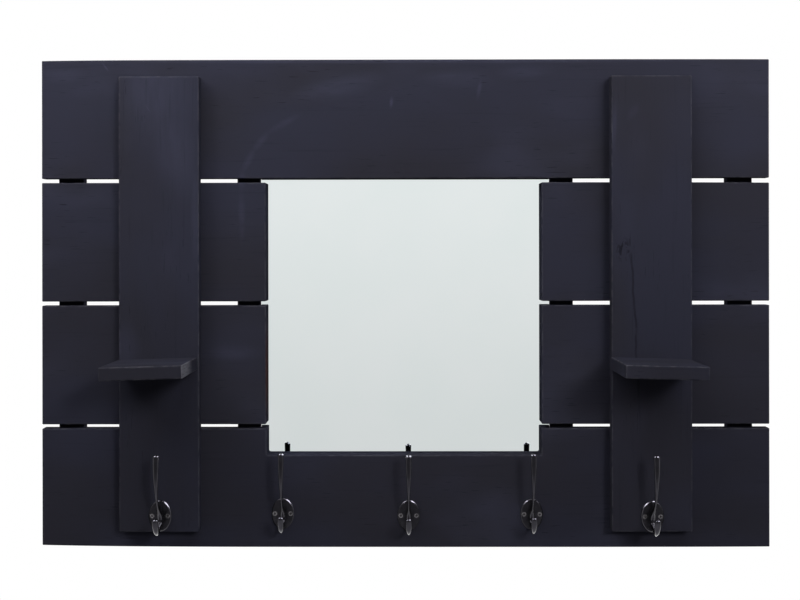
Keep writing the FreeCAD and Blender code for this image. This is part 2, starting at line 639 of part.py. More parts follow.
def build_fasteners():
    """Every group of fasteners, and the drills for their holes."""
    batten_size = (BATTEN_SCREW_LENGTH, BATTEN_SCREW_RADIUS, BATTEN_SCREW_HEAD_RADIUS)
    shelf_size = (SHELF_SCREW_LENGTH, SHELF_SCREW_RADIUS, SHELF_SCREW_HEAD_RADIUS)
    hook_size = (HOOK_SCREW_LENGTH, HOOK_SCREW_RADIUS, HOOK_SCREW_HEAD_RADIUS)
    hook_seats = [point + seat for point in hook_points() for seat in hook_screw_seats()]
    clip_seats = clip_screw_points(1) + clip_screw_points(-1)
    plans = (
        ("batten_screws", flat_head_screw(*batten_size), flat_head_drill(*batten_size),
         batten_screw_points(), OUT_OF_WALL),
        ("shelf_screws", flat_head_screw(*shelf_size), flat_head_drill(*shelf_size),
         shelf_screw_points(), OUT_OF_WALL),
        ("hook_screws", flat_head_screw(*hook_size), flat_head_drill(*hook_size),
         hook_seats, INTO_WALL),
        ("clip_screws", pan_head_screw(CLIP_SCREW_LENGTH), pan_head_drill(CLIP_SCREW_LENGTH),
         clip_seats, OUT_OF_WALL),
        ("hanger_screws", pan_head_screw(HANGER_SCREW_LENGTH), pan_head_drill(HANGER_SCREW_LENGTH),
         hanger_screw_points(), OUT_OF_WALL),
        ("board_brads", brad(), brad_drill(), brad_points(), INTO_WALL),
    )
    groups = {}
    drills = []
    for name, fastener, drill, points, direction in plans:
        groups[name] = Part.makeCompound([placed(fastener, point, direction) for point in points])
        drills += [placed(drill, point, direction) for point in points]
    return groups, drills


def main():
    fasteners, drills = build_fasteners()
    boards = {**build_planks(), **build_uprights(), **build_shelves()}
    pieces = {name: drilled(board, drills) for name, board in boards.items()}
    pieces.update(build_mirror())
    pieces.update(build_fittings())
    pieces.update(fasteners)
    os.makedirs("parts", exist_ok=True)
    for name, shape in pieces.items():
        shape.exportStep(f"parts/{name}.step")
        print(f"{name}: {len(shape.Solids)} solids, {shape.Volume / 1000:.2f} cm3")


main()
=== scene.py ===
import itertools
import json
import math

import bpy
from mathutils import Matrix, Vector, noise


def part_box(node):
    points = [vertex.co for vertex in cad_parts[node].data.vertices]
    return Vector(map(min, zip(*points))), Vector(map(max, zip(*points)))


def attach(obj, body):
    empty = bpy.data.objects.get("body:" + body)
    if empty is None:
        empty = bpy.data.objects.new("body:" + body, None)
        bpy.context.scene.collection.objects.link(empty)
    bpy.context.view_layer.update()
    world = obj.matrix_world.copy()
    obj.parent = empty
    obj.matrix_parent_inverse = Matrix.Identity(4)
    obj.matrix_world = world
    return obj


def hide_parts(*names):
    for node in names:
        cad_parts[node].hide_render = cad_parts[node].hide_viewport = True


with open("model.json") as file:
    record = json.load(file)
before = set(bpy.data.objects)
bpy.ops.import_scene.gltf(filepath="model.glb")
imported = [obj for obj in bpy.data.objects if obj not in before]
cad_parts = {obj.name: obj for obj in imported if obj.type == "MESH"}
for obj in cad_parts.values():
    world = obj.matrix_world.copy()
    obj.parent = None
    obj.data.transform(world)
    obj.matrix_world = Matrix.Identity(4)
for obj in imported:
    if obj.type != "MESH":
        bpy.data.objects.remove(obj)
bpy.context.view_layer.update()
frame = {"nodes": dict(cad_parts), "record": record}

# Wall mirror with hooks. Metres, +Z up, the wall plane is y = 0 and the front faces -Y.
# The timber is rebuilt here with worn, slightly uneven arrises. The glass, the fittings and the
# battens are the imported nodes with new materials.
MM = 0.001

# Camera: level to a tenth of a degree, turned slightly to the left, framed with a small shift.
IMAGE_WIDTH = 800
SENSOR_WIDTH = 36.0
FOCAL_PIXELS = 1193.3
CAMERA_PLACE = (-0.0034, -1.532, 0.0701)
CAMERA_YAW = math.radians(0.271)
CAMERA_ROLL = math.radians(-0.088)
CAMERA_SHIFT = (0.0041, -0.0656)

# Timber, sizes in millimetres.
NOTCH_SIDES = (-174.7, 171.1)
NOTCH_DEPTH = 34.0
NOTCH_CORNER_RADIUS = 2.5
SHELF_WIDTH = 97.5
SHELF_THICKNESS = 16.0

# The lines of the timber's mesh lie at most this far apart along x, y and z, in millimetres. Beside each
# edge they lie at these multiples of its radius.
PLANK_PITCH = (7.0, 4.0, 7.0)
SHELF_PITCH = (3.0, 3.0, 4.0)
EDGE_STOPS = (0.0, 0.3, 1.0, 2.2)

# Lines that agree to this many digits of a millimetre are one, and so are points to this many of a metre.
LINE_DIGITS = 6
POINT_DIGITS = 7

# Worn edges and faces, in millimetres. A grain is in cycles a millimetre. The rounding varies from the
# least share of the radius up by the spread, the offset sets the noise of the loss apart from the
# rounding's, and a dent starts where its noise passes the threshold.
EDGE_RADIUS = 1.0
ROUNDING_LEAST = 0.7
ROUNDING_SPREAD = 0.3
EDGE_LOSS = 0.35
EDGE_GRAIN = 0.09
LOSS_NOISE_OFFSET = Vector((31, 7, 3))
DENT_DEPTH = 0.5
DENT_GRAIN = 0.16
DENT_THRESHOLD = 0.35
FACE_WAVE = 0.12
FACE_GRAIN = 0.012

# In millimetres: the rubbed paint's reach from an arris, and how far the painted light on a marked end takes
# to fade out.
RUB_WIDTH = 2.0
END_LIGHT_FADE = 40.0

# The dimples over the brads, in millimetres: the radius at the bottom, and how much is added at the face.
DIMPLE_RADIUS = 0.75
DIMPLE_FLARE = 0.15
DIMPLE_DEPTH = 0.45
DIMPLE_SIDES = 20
DIMPLE_SHARP_ANGLE = math.radians(40)

# What hand sawing took off an edge beyond the square: (edge, end, depth, fade), millimetres.
# The loss is greatest at the named end of the plank and dies away over the fade length.
SAW_LOSSES = {
    "plank_top": (("high", "left", 1.0, 60), ("high", "right", 0.7, 140)),
    "plank_upper_right": (("high", "right", 1.0, 120),),
    "plank_bottom": (("low", "left", 2.8, 110), ("low", "right", 0.5, 60)),
}


# ---------------------------------------------------------------- pieces in general

def turns(sides):
    """Angles evenly round a circle."""
    return [2 * math.pi * step / sides for step in range(sides)]


def place_in_scene(name, data):
    """A new object of the given mesh, lamp or lens."""
    made = bpy.data.objects.new(name, data)
    bpy.context.scene.collection.objects.link(made)
    return made


def mesh_piece(name, points, faces):
    """A smooth mesh object of points in metres."""
    mesh = bpy.data.meshes.new(name)
    mesh.from_pydata([tuple(point) for point in points], [], faces)
    mesh.validate()
    mesh.shade_smooth()
    return place_in_scene(name, mesh)


def node_corners(node):
    """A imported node's box in millimetres."""
    low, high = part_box(node)
    return low / MM, high / MM


def stand_in(piece, node, material):
    """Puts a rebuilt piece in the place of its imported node."""
    piece.data.materials.append(material)
    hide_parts(node)
    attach(piece, "panel")


# ---------------------------------------------------------------- timber shapes

def grid_lines(breaks, pitch):
    """Places along one axis: bunched beside each break, and at most pitch apart elsewhere."""
    offsets = [side * stop * EDGE_RADIUS for stop in EDGE_STOPS for side in (-1, 1)]
    near = sorted({round(at + offset, LINE_DIGITS) for at in breaks for offset in offsets})
    near = [at for at in near if breaks[0] <= at <= breaks[-1]]
    lines = near[:1]
    for at in near[1:]:
        start = lines[-1]
        count = max(1, math.ceil((at - start) / pitch))
        lines += [start + (at - start) * step / count for step in range(1, count + 1)]
    return lines


def face_corners(cell, axis, side):
    """The grid corners of a cell's low (0) or high (1) face on an axis, in order as seen from outside."""
    u, v = (axis + 1) % 3, (axis + 2) % 3
    ring = ((0, 0), (1, 0), (1, 1), (0, 1)) if side else ((0, 0), (0, 1), (1, 1), (1, 0))
    corners = []
    for du, dv in ring:
        corner = list(cell)
        corner[axis] += side
        corner[u] += du
        corner[v] += dv
        corners.append(tuple(corner))
    return corners


def filled_cells(blocks, lines):
    """The cells of the grid whose middles lie in a block."""
    middles = [[(a + b) / 2 for a, b in zip(row, row[1:])] for row in lines]
    cells = []
    for cell in itertools.product(*(range(len(row)) for row in middles)):
        at = [middles[axis][index] for axis, index in enumerate(cell)]
        if any(all(low[n] < at[n] < high[n] for n in range(3)) for low, high in blocks):
            cells.append(cell)
    return cells


def block_skin(blocks, pitch):
    """Points and quads of the outer skin of overlapping blocks, each block a (low, high) pair of corners."""
    lines = []
    for axis in range(3):
        breaks = sorted({corner[axis] for block in blocks for corner in block})
        lines.append(grid_lines(breaks, pitch[axis]))
    cells = filled_cells(blocks, lines)
    solid = set(cells)
    numbers, points, quads = {}, [], []

    def number(key):
        if key not in numbers:
            numbers[key] = len(points)
            points.append(Vector([lines[axis][index] for axis, index in enumerate(key)]))
        return numbers[key]

    for cell in cells:
        for axis in range(3):
            for side in (0, 1):
                beside = list(cell)
                beside[axis] += 2 * side - 1
                if tuple(beside) not in solid:
                    quads.append([number(corner) for corner in face_corners(cell, axis, side)])
    return points, quads


def lean(point, blocks, radius):
    """The nearest point of the blocks drawn in by radius, and the way from there to the given point."""
    best = None
    for low, high in blocks:
        inner = Vector([min(max(point[n], low[n] + radius), high[n] - radius) for n in range(3)])
        away = point - inner
        if best is None or away.length < best[1].length:
            best = (inner, away)
    return best


def arris_share(away):
    """0 on a flat face, 1 on the middle of a rounded arris or corner."""
    if away.length == 0:
        return 0.0
    flat = max(abs(part) for part in away) / away.length
    return min(1.0, (1.0 - flat) / (1.0 - math.sqrt(0.5)))


def noise_share(point, grain):
    """Smooth noise from 0 to 1. The grain is in cycles a millimetre."""
    return 0.5 + 0.5 * noise.noise(point * grain)


def worn(point, blocks):
    """A skin point after easing, wear and waviness. It only ever moves into the wood."""
    radius = EDGE_RADIUS * (ROUNDING_LEAST + ROUNDING_SPREAD * noise_share(point, EDGE_GRAIN))
    inner, away = lean(point, blocks, radius)
    if away.length == 0:
        return point.copy()
    dent = max(0.0, noise.noise(point * DENT_GRAIN) - DENT_THRESHOLD) * DENT_DEPTH
    rubbed = EDGE_LOSS * noise_share(point + LOSS_NOISE_OFFSET, EDGE_GRAIN)
    loss = arris_share(away) * (rubbed + dent)
    loss += FACE_WAVE * noise_share(point, FACE_GRAIN)
    return inner + away.normalized() * (radius - loss)


def saw_shift(node, point, low, high):
    """How far the sawn edges of a plank are set in at a point, as a height change in millimetres."""
    up = (point.z - low.z) / (high.z - low.z)
    shift = 0.0
    for edge, end, depth, fade in SAW_LOSSES.get(node, ()):
        along = point.x - low.x if end == "left" else high.x - point.x
        loss = depth * math.exp(-along / fade)
        shift += loss * (1 - up) if edge == "low" else -loss * up
    return shift


def notch_fillet(point, floor):
    """The move that rounds the notch's two inner corners."""
    radius = NOTCH_CORNER_RADIUS
    for corner, side in zip(NOTCH_SIDES, (1, -1)):
        centre = Vector((corner + side * radius, 0, floor + radius))
        offset = Vector((point.x - centre.x, 0, point.z - centre.z))
        in_corner = -radius <= offset.x * side <= 0 and -radius <= offset.z <= 0
        if in_corner and offset.length > radius:
            return offset.normalized() * radius - offset
    return Vector()


def write_on_points(piece, name, values):
    """Stores one number for each point of a mesh under the name that the paint reads."""
    stored = piece.data.attributes.new(name, "FLOAT", "POINT")
    stored.data.foreach_set("value", values)


def mark_arrises(piece, blocks, to_local=Matrix.Identity(4)):
    """Writes how near each point lies to an arris."""
    places = [to_local @ vertex.co / MM for vertex in piece.data.vertices]
    shares = [arris_share(lean(place, blocks, RUB_WIDTH)[1]) for place in places]
    write_on_points(piece, "arris", shares)


def mark_end_light(piece, high, to_local):
    """Writes painted light on a board's right end: full in front, fading out round its middle."""
    values = []
    for vertex in piece.data.vertices:
        local = to_local @ vertex.co / MM
        on_end = local.x > high.x - EDGE_RADIUS / 2
        painted_light = min(1.0, max(0.0, 0.5 - local.y / END_LIGHT_FADE))
        values.append(painted_light if on_end else 0.0)
    write_on_points(piece, "end", values)


def notched_blocks(low, high):
    """The bottom plank as three overlapping blocks round its notch."""
    floor = high.z - NOTCH_DEPTH
    left, right = NOTCH_SIDES
    return [
        (low, Vector((high.x, high.y, floor))),
        (low, Vector((left, high.y, high.z))),
        (Vector((right, low.y, low.z)), high),
    ]


def plank(node, material):
    """A plank or front board, with worn arrises and its own sawn edges."""
    low, high = node_corners(node)
    notched = node == "plank_bottom"
    blocks = notched_blocks(low, high) if notched else [(low, high)]
    points, quads = block_skin(blocks, PLANK_PITCH)
    shaped = []
    for point in points:
        moved = worn(point, blocks)
        moved.z += saw_shift(node, point, low, high)
        if notched:
            moved += notch_fillet(point, high.z - NOTCH_DEPTH)
        shaped.append(moved * MM)
    piece = mesh_piece(node + "_timber", shaped, quads)
    if node.startswith("front_board"):
        sink_dimples(piece, brad_places(low, high), low.y)
    mark_arrises(piece, blocks)
    stand_in(piece, node, material)


def shelf(side, material):
    """A shelf board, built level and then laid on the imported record's mount for its top face."""
    node = f"shelf_{side}"
    mount = next(m for m in frame["record"]["mounts"] if m["name"] == f"{node}_top")
    low_box, high_box = node_corners(node)
    depth = high_box.y - low_box.y
    low = Vector((-SHELF_WIDTH / 2, -depth / 2, -SHELF_THICKNESS))
    high = Vector((SHELF_WIDTH / 2, depth / 2, 0))
    up = Vector(mount["axis"]).normalized()
    back = Vector((0, 1, 0))
    turn = Matrix((back.cross(up), back, up)).transposed().to_4x4()
    place = Matrix.Translation(mount["pos_m"]) @ turn
    points, quads = block_skin([(low, high)], SHELF_PITCH)
    shaped = [place @ (worn(point, [(low, high)]) * MM) for point in points]
    piece = mesh_piece(node + "_timber", shaped, quads)
    mark_arrises(piece, [(low, high)], place.inverted())
    # The left shelf's right end gets painted light, brightest at the front.
    if side == "left":
        mark_end_light(piece, high, place.inverted())
    stand_in(piece, node, material)


def island_middles(node):
    """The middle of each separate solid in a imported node, in millimetres."""
    mesh = frame["nodes"][node].data
    parent = list(range(len(mesh.vertices)))

    def root(index):
        while parent[index] != index:
            parent[index] = parent[parent[index]]
            index = parent[index]
        return index

    merged = {}
    for index, vertex in enumerate(mesh.vertices):
        key = tuple(round(part, POINT_DIGITS) for part in vertex.co)
        parent[index] = merged.setdefault(key, index)
    for edge in mesh.edges:
        a, b = (root(index) for index in edge.vertices)
        parent[a] = b
    groups = {}
    for index, vertex in enumerate(mesh.vertices):
        groups.setdefault(root(index), []).append(vertex.co)
    return [(Vector(map(min, *group)) + Vector(map(max, *group))) / 2 / MM for group in groups.values()]


def brad_places(low, high):
    """Where the brads go into one front board."""
    return [middle for middle in island_middles("board_brads") if low.x < middle.x < high.x]


def flared_plugs(places, front):
    """Points and faces of a round plug at each place, wide before a board's face and narrow in the wood."""
    rims = ((-DIMPLE_DEPTH, DIMPLE_RADIUS + 2 * DIMPLE_FLARE), (DIMPLE_DEPTH, DIMPLE_RADIUS))
    points, faces = [], []
    for place in places:
        outer = len(points)
        inner = outer + DIMPLE_SIDES
        for depth, radius in rims:
            for turn in turns(DIMPLE_SIDES):
                points.append(Vector((place.x + radius * math.cos(turn), front + depth,
                                      place.z + radius * math.sin(turn))) * MM)
        for step in range(DIMPLE_SIDES):
            after = (step + 1) % DIMPLE_SIDES
            faces.append((outer + step, inner + step, inner + after, outer + after))
        faces.append([outer + step for step in range(DIMPLE_SIDES)])
        faces.append([inner + step for step in reversed(range(DIMPLE_SIDES))])
    return points, faces


def sink_dimples(piece, places, front):
    """Cuts the small holes that the set brads left in a board's face."""
    cutter = mesh_piece("cutter", *flared_plugs(places, front))
    cut = piece.modifiers.new("dimples", "BOOLEAN")
    cut.operation = "DIFFERENCE"
    cut.solver = "EXACT"
    cut.object = cutter
    shaped = piece.evaluated_get(bpy.context.evaluated_depsgraph_get())
    result = bpy.data.meshes.new_from_object(shaped)
    result.set_sharp_from_angle(angle=DIMPLE_SHARP_ANGLE)
    piece.modifiers.clear()
    piece.data = result
    bpy.data.objects.remove(cutter)


# ---------------------------------------------------------------- shader nodes

# The sockets of a colour mix node, by number because their names are used more than once.
MIX_SHARE = 0
MIX_FIRST = 6
MIX_SECOND = 7
MIX_RESULT = 2

# A smudge is full within this share of its oval, and reaches this many metres through the wood.
SMUDGE_CORE = 0.10
SMUDGE_DEPTH = 1000.0

# The half length of each mark in a wiped stroke, as a share of the way between two of its points.
STROKE_REACH = 0.75


def add_node(tree, kind, inputs, **settings):
    """A shader node. An input given as a socket is linked, any other value is set."""
    made = tree.nodes.new(kind)
    for name, value in settings.items():
        setattr(made, name, value)
    for name, value in inputs.items():
        if isinstance(value, bpy.types.NodeSocket):
            tree.links.new(value, made.inputs[name])
        else:
            made.inputs[name].default_value = value
    return made


def calculate(tree, operation, *values):
    """A math node's result."""
    return add_node(tree, "ShaderNodeMath", dict(enumerate(values)), operation=operation).outputs[0]


def split_axes(tree, vector):
    """A vector's three parts, by the names X, Y and Z."""
    return add_node(tree, "ShaderNodeSeparateXYZ", {"Vector": vector}).outputs


def all_round(cycles):
    """The same cycles a metre along all three axes."""
    return (cycles, cycles, cycles)


def stretched(along, length, width):
    """Cycles a metre along the three axes for marks of that length and width, in metres."""
    return tuple(1 / length if axis == along else 1 / width for axis in "xyz")


def field(tree, coordinates, cycles, detail=2.0, roughness=0.5, distortion=0.0, offset=(0, 0, 0)):
    """Smooth noise of 0 to 1 with the given cycles a metre along x, y and z."""
    mapping = add_node(tree, "ShaderNodeMapping", {
        "Vector": coordinates, "Scale": cycles, "Location": offset})
    made = add_node(tree, "ShaderNodeTexNoise", {
        "Vector": mapping.outputs["Vector"], "Scale": 1.0, "Detail": detail,
        "Roughness": roughness, "Distortion": distortion})
    return made.outputs["Fac"]


def rise(tree, value, start, end, low=0.0, high=1.0):
    """Smooth step of a value from start to end, from low to high."""
    made = add_node(tree, "ShaderNodeMapRange", {
        "Value": value, "From Min": start, "From Max": end, "To Min": low, "To Max": high},
        interpolation_type="SMOOTHSTEP")
    return made.outputs["Result"]


def blend_colours(tree, share, first, second):
    """From the first colour to the second by share."""
    sockets = {MIX_SHARE: share, MIX_FIRST: first, MIX_SECOND: second}
    return add_node(tree, "ShaderNodeMix", sockets, data_type="RGBA").outputs[MIX_RESULT]


def attribute(tree, name):
    """A value written on the mesh."""
    made = tree.nodes.new("ShaderNodeAttribute")
    made.attribute_name = name
    return made.outputs["Fac"]


def add_bump(tree, shader, height, distance, strength):
    """Fine relief, distance in metres."""
    made = add_node(tree, "ShaderNodeBump", {"Height": height, "Distance": distance, "Strength": strength})
    tree.links.new(made.outputs["Normal"], shader.inputs["Normal"])


def new_material(name, **settings):
    """A material, its tree, its Principled shader with the settings in its sockets, and its coordinates."""
    material = bpy.data.materials.new(name)
    material.use_nodes = True
    tree = material.node_tree
    shader = tree.nodes["Principled BSDF"]
    for socket, value in settings.items():
        shader.inputs[socket.replace("_", " ")].default_value = value
    coordinates = tree.nodes.new("ShaderNodeTexCoord").outputs["Object"]
    return material, tree, shader, coordinates


def smudges(tree, place, marks):
    """Soft oval marks: (x, z, half length, half width, turn, strength), metres and degrees from level."""
    total = 0.0
    for x, z, half_length, half_width, turn, strength in marks:
        local = add_node(tree, "ShaderNodeMapping", {
            "Vector": place, "Location": (x, 0, z), "Rotation": (0, -math.radians(turn), 0),
            "Scale": (half_length, SMUDGE_DEPTH, half_width)}, vector_type="TEXTURE")
        reach = add_node(tree, "ShaderNodeVectorMath", {0: local.outputs["Vector"]}, operation="LENGTH")
        mark = rise(tree, reach.outputs["Value"], 1.0, SMUDGE_CORE, high=strength)
        total = calculate(tree, "MAXIMUM", mark, total)
    return total


def stroke(points, half_width, strength):
    """The marks of one wiped stroke through the given points."""
    marks = []
    for (x0, z0), (x1, z1) in zip(points, points[1:]):
        half_length = STROKE_REACH * math.hypot(x1 - x0, z1 - z0)
        turn = math.degrees(math.atan2(z1 - z0, x1 - x0))
        marks.append(((x0 + x1) / 2, (z0 + z1) / 2, half_length, half_width, turn, strength))
    return marks


# ---------------------------------------------------------------- paint on timber

# Colours are linear red, green and blue, and 1 for opaque.
PAINT_DEEP = (0.0275, 0.0270, 0.0370, 1)
PAINT_BLUE = (0.0300, 0.0306, 0.0470, 1)
# Milky paint, which some placed marks also use for painted sheen.
PAINT_MILKY_AND_SHEEN = (0.0560, 0.0590, 0.0960, 1)
PAINT_WORN = (0.0760, 0.0755, 0.0900, 1)
PAINT_GRAIN = (0.0110, 0.0105, 0.0150, 1)
# Painted light for the left shelf's right end.
END_LIGHT = (0.1350, 0.1340, 0.1580, 1)
RAW_WOOD = (0.0600, 0.0260, 0.0200, 1)

# Marks in the paint, in metres: (length along the grain, width across it).
PATCH_SIZE = (0.22, 0.11)
CLOUD_SIZE = (0.16, 0.07)
WIPE_SIZE = (0.06, 0.012)
GRAIN_SIZE = (0.12, 0.0042)
PORE_SIZE = (0.022, 0.0017)
BRUSH_SIZE = (0.03, 0.0012)
BATTEN_PATCH_SIZE = (0.2, 0.06)
SAW_MARK_SIZE = (0.05, 0.0016)

# The knot and the grain line below it, in metres: the knot's half width and half height, how far the
# line starts beside the knot's middle, its lean for each metre up, its full swing, the distances from its
# middle where it begins and is full, and how far it takes to fade out at its lower end.
KNOT_SIZE = (0.015, 0.019)
CRACK_SHIFT = 0.009
CRACK_LEAN = -0.050
CRACK_SWING = 0.010
CRACK_EDGE = (0.0022, 0.0004)
CRACK_FADE = 0.15


def milky_and_sheen_share(tree, place, along, clouds, marks):
    """Where the paint is milky: faintly in the clouds, more in the placed marks with their wiped streaks.
    Some placed marks are painted sheen.
    """
    wiped = field(tree, place, stretched(along, *WIPE_SIZE), detail=3, roughness=0.6, offset=(2, 4, 1))
    streaks = rise(tree, wiped, 0.30, 0.62, low=0.55)
    placed = calculate(tree, "MULTIPLY", smudges(tree, place, marks), streaks)
    return calculate(tree, "MAXIMUM", rise(tree, clouds, 0.52, 0.80, high=0.30), placed)


def dark_grain_share(tree, place, along, clouds, grain):
    """Where dark grain shows: long soft lines, and open pores in the clouds."""
    lines = rise(tree, grain, 0.42, 0.28, high=0.18)
    pores = field(tree, place, stretched(along, *PORE_SIZE), detail=1, offset=(1, 6, 2))
    open_pores = rise(tree, pores, 0.33, 0.24, high=0.6)
    dashes = calculate(tree, "MULTIPLY", open_pores, rise(tree, clouds, 0.40, 0.58))
    return calculate(tree, "MAXIMUM", lines, dashes)


def rubbed_share(tree, place, wear):
    """Where the paint is rubbed along the arrises, at most by wear."""
    rub = field(tree, place, all_round(90), detail=2)
    return calculate(tree, "MULTIPLY", attribute(tree, "arris"), rise(tree, rub, 0.34, 0.64, high=wear))


def end_light_share(tree, place):
    """Painted light on a marked end, broken by level streaks of end grain."""
    fibres = rise(tree, field(tree, place, (60, 60, 500), detail=2), 0.25, 0.60, low=0.55)
    return calculate(tree, "MULTIPLY", attribute(tree, "end"), fibres)


def broken_knot(tree, place, knot_x, knot_z):
    """A dark knot, broken into flecks."""
    flecks = field(tree, place, (220, 220, 120), detail=2, distortion=0.6, offset=(5, 0, 2))
    oval = smudges(tree, place, [(knot_x, knot_z, *KNOT_SIZE, 0, 0.9)])
    return calculate(tree, "MULTIPLY", oval, rise(tree, flecks, 0.53, 0.42))


def knot_crack(tree, place, knot_x, knot_z, crack_end):
    """The wavy grain line that runs down from the knot to crack_end, a height from the knot's middle."""
    parts = split_axes(tree, place)
    across = calculate(tree, "SUBTRACT", parts["X"], knot_x)
    up = calculate(tree, "SUBTRACT", parts["Z"], knot_z)
    wave = field(tree, place, (0, 0, 22), detail=2, offset=(0, 0, 9))
    bend = calculate(tree, "MULTIPLY_ADD", wave, CRACK_SWING, -CRACK_SWING / 2)
    middle = calculate(tree, "MULTIPLY_ADD", up, CRACK_LEAN, calculate(tree, "ADD", bend, CRACK_SHIFT))
    off_line = calculate(tree, "ABSOLUTE", calculate(tree, "SUBTRACT", across, middle))
    on_line = rise(tree, off_line, *CRACK_EDGE)
    top = rise(tree, up, 0.0, -0.01)
    bottom = rise(tree, up, crack_end, crack_end + CRACK_FADE)
    breaks = field(tree, place, (0, 0, 45), detail=2, offset=(0, 0, 3))
    broken = rise(tree, breaks, 0.30, 0.55, low=0.3, high=0.6)
    ends = calculate(tree, "MULTIPLY", top, bottom)
    return calculate(tree, "MULTIPLY", on_line, calculate(tree, "MULTIPLY", ends, broken))


def knot_mark(tree, place, knot_x, knot_z, crack_end):
    """A dark broken knot and its grain line."""
    knot = broken_knot(tree, place, knot_x, knot_z)
    return calculate(tree, "MAXIMUM", knot, knot_crack(tree, place, knot_x, knot_z, crack_end))


def painted_timber(name, along, wear=0.7, milky_and_sheen_marks=(), raw_cuts=(), knot=None):
    """Thin slate paint over softwood: grain, bluish clouds, wiped milky marks and painted sheen, rubbed
    arrises, and painted light on a marked end.
    """
    material, tree, shader, place = new_material(name, Specular_IOR_Level=0.0)
    patches = rise(tree, field(tree, place, stretched(along, *PATCH_SIZE), detail=2.5), 0.36, 0.66)
    clouds = field(tree, place, stretched(along, *CLOUD_SIZE), detail=2, offset=(3, 1, 7))
    grain = field(tree, place, stretched(along, *GRAIN_SIZE), detail=3, roughness=0.6, distortion=0.35)
    colour = blend_colours(tree, patches, PAINT_DEEP, PAINT_BLUE)
    # Milky clouds and marks, where some of the marks are painted sheen.
    colour = blend_colours(tree, milky_and_sheen_share(tree, place, along, clouds, milky_and_sheen_marks), colour, PAINT_MILKY_AND_SHEEN)
    colour = blend_colours(tree, dark_grain_share(tree, place, along, clouds, grain), colour, PAINT_GRAIN)
    if knot:
        colour = blend_colours(tree, knot_mark(tree, place, *knot), colour, PAINT_GRAIN)
    colour = blend_colours(tree, rubbed_share(tree, place, wear), colour, PAINT_WORN)
    colour = blend_colours(tree, smudges(tree, place, raw_cuts), colour, RAW_WOOD)
    # Painted light on a marked end, brightest at its front.
    colour = blend_colours(tree, end_light_share(tree, place), colour, END_LIGHT)
    tree.links.new(colour, shader.inputs["Base Color"])
    roughness = calculate(tree, "MULTIPLY_ADD", clouds, -0.15, 0.86)
    tree.links.new(roughness, shader.inputs["Roughness"])
    brushed = field(tree, place, stretched(along, *BRUSH_SIZE), detail=2, roughness=0.6)
    height = calculate(tree, "MULTIPLY_ADD", grain, 0.7, calculate(tree, "MULTIPLY", brushed, 0.3))
    add_bump(tree, shader, height, distance=0.00022, strength=0.4)
    return material


def painted_batten(name):
    """Slate paint over rough sawn timber, seen from behind."""
    material, tree, shader, place = new_material(name, Specular_IOR_Level=0.0, Roughness=0.9)
    patches = rise(tree, field(tree, place, stretched("z", *BATTEN_PATCH_SIZE), detail=3), 0.35, 0.68)
    colour = blend_colours(tree, patches, PAINT_DEEP, PAINT_BLUE)
    sawn = field(tree, place, stretched("x", *SAW_MARK_SIZE), detail=2, distortion=0.2)
    colour = blend_colours(tree, rise(tree, sawn, 0.42, 0.25, high=0.45), colour, PAINT_GRAIN)
    tree.links.new(colour, shader.inputs["Base Color"])
    add_bump(tree, shader, sawn, distance=0.0006, strength=0.6)
    return material


# ---------------------------------------------------------------- glass, metal and board

SILVER_DULL = (0.760, 0.812, 0.809, 1)
SILVER_CLEAR = (0.780, 0.822, 0.822, 1)
GLASS_EDGE = (0.10, 0.20, 0.16, 1)
GUNMETAL_DARK = (0.0125, 0.0121, 0.0145, 1)
GUNMETAL_RUBBED = (0.0165, 0.0160, 0.0190, 1)
SCREW_DARK = (0.050, 0.048, 0.052, 1)
SCREW_RUBBED = (0.125, 0.120, 0.126, 1)
# Painted shade for the screws' recesses.
SCREW_RECESS_SHADE = (0.004, 0.004, 0.005, 1)
ZINC_DARK = (0.38, 0.39, 0.40, 1)
ZINC_PALE = (0.48, 0.48, 0.47, 1)
HARDBOARD_DARK = (0.150, 0.083, 0.043, 1)
HARDBOARD_PALE = (0.190, 0.110, 0.058, 1)
HARDBOARD_FIBRE = (0.300, 0.190, 0.105, 1)

# The zinc's crystals in cycles a metre, and the hardboard's screen pattern in metres.
CRYSTAL_CYCLES = 420.0
SCREEN_PITCH = 0.0018

# The hook screws' heads lie flush in plates on the planks and on the front boards, one board's thickness
# apart. This is how far to shift them to bring their faces just above zero, that thickness, and the
# depths from that zero where the painted shade in their recesses begins and is full, in metres.
SCREW_FACE_SHIFT = 0.0515
BOARD_STEP = 0.016
RECESS_SHADE_DEPTHS = (0.0006, 0.0009)


def silvered_glass(name):
    """Plate glass silvered behind: a cool mirror on its faces, green at its cut edges."""
    material, tree, shader, place = new_material(name, Roughness=0.012)
    normal = tree.nodes.new("ShaderNodeNewGeometry").outputs["Normal"]
    facing = calculate(tree, "ABSOLUTE", split_axes(tree, normal)["Y"])
    face = rise(tree, facing, 0.4, 0.6)
    haze = rise(tree, field(tree, place, all_round(9), detail=3), 0.3, 0.7)
    silver = blend_colours(tree, haze, SILVER_DULL, SILVER_CLEAR)
    tree.links.new(blend_colours(tree, face, GLASS_EDGE, silver), shader.inputs["Base Color"])
    tree.links.new(face, shader.inputs["Metallic"])
    return material


def gunmetal(name):
    """Dark lacquered cast metal, rubbed a little brighter in places."""
    material, tree, shader, place = new_material(name, Metallic=1.0, IOR=1.5)
    rubbed = rise(tree, field(tree, place, all_round(160), detail=4), 0.40, 0.75)
    colour = blend_colours(tree, rubbed, GUNMETAL_DARK, GUNMETAL_RUBBED)
    tree.links.new(colour, shader.inputs["Base Color"])
    smears = field(tree, place, all_round(320), detail=3)
    roughness = calculate(tree, "MULTIPLY_ADD", smears, 0.10, 0.19)
    tree.links.new(roughness, shader.inputs["Roughness"])
    cast = field(tree, place, all_round(900), detail=3)
    add_bump(tree, shader, cast, distance=0.00008, strength=0.5)
    return material


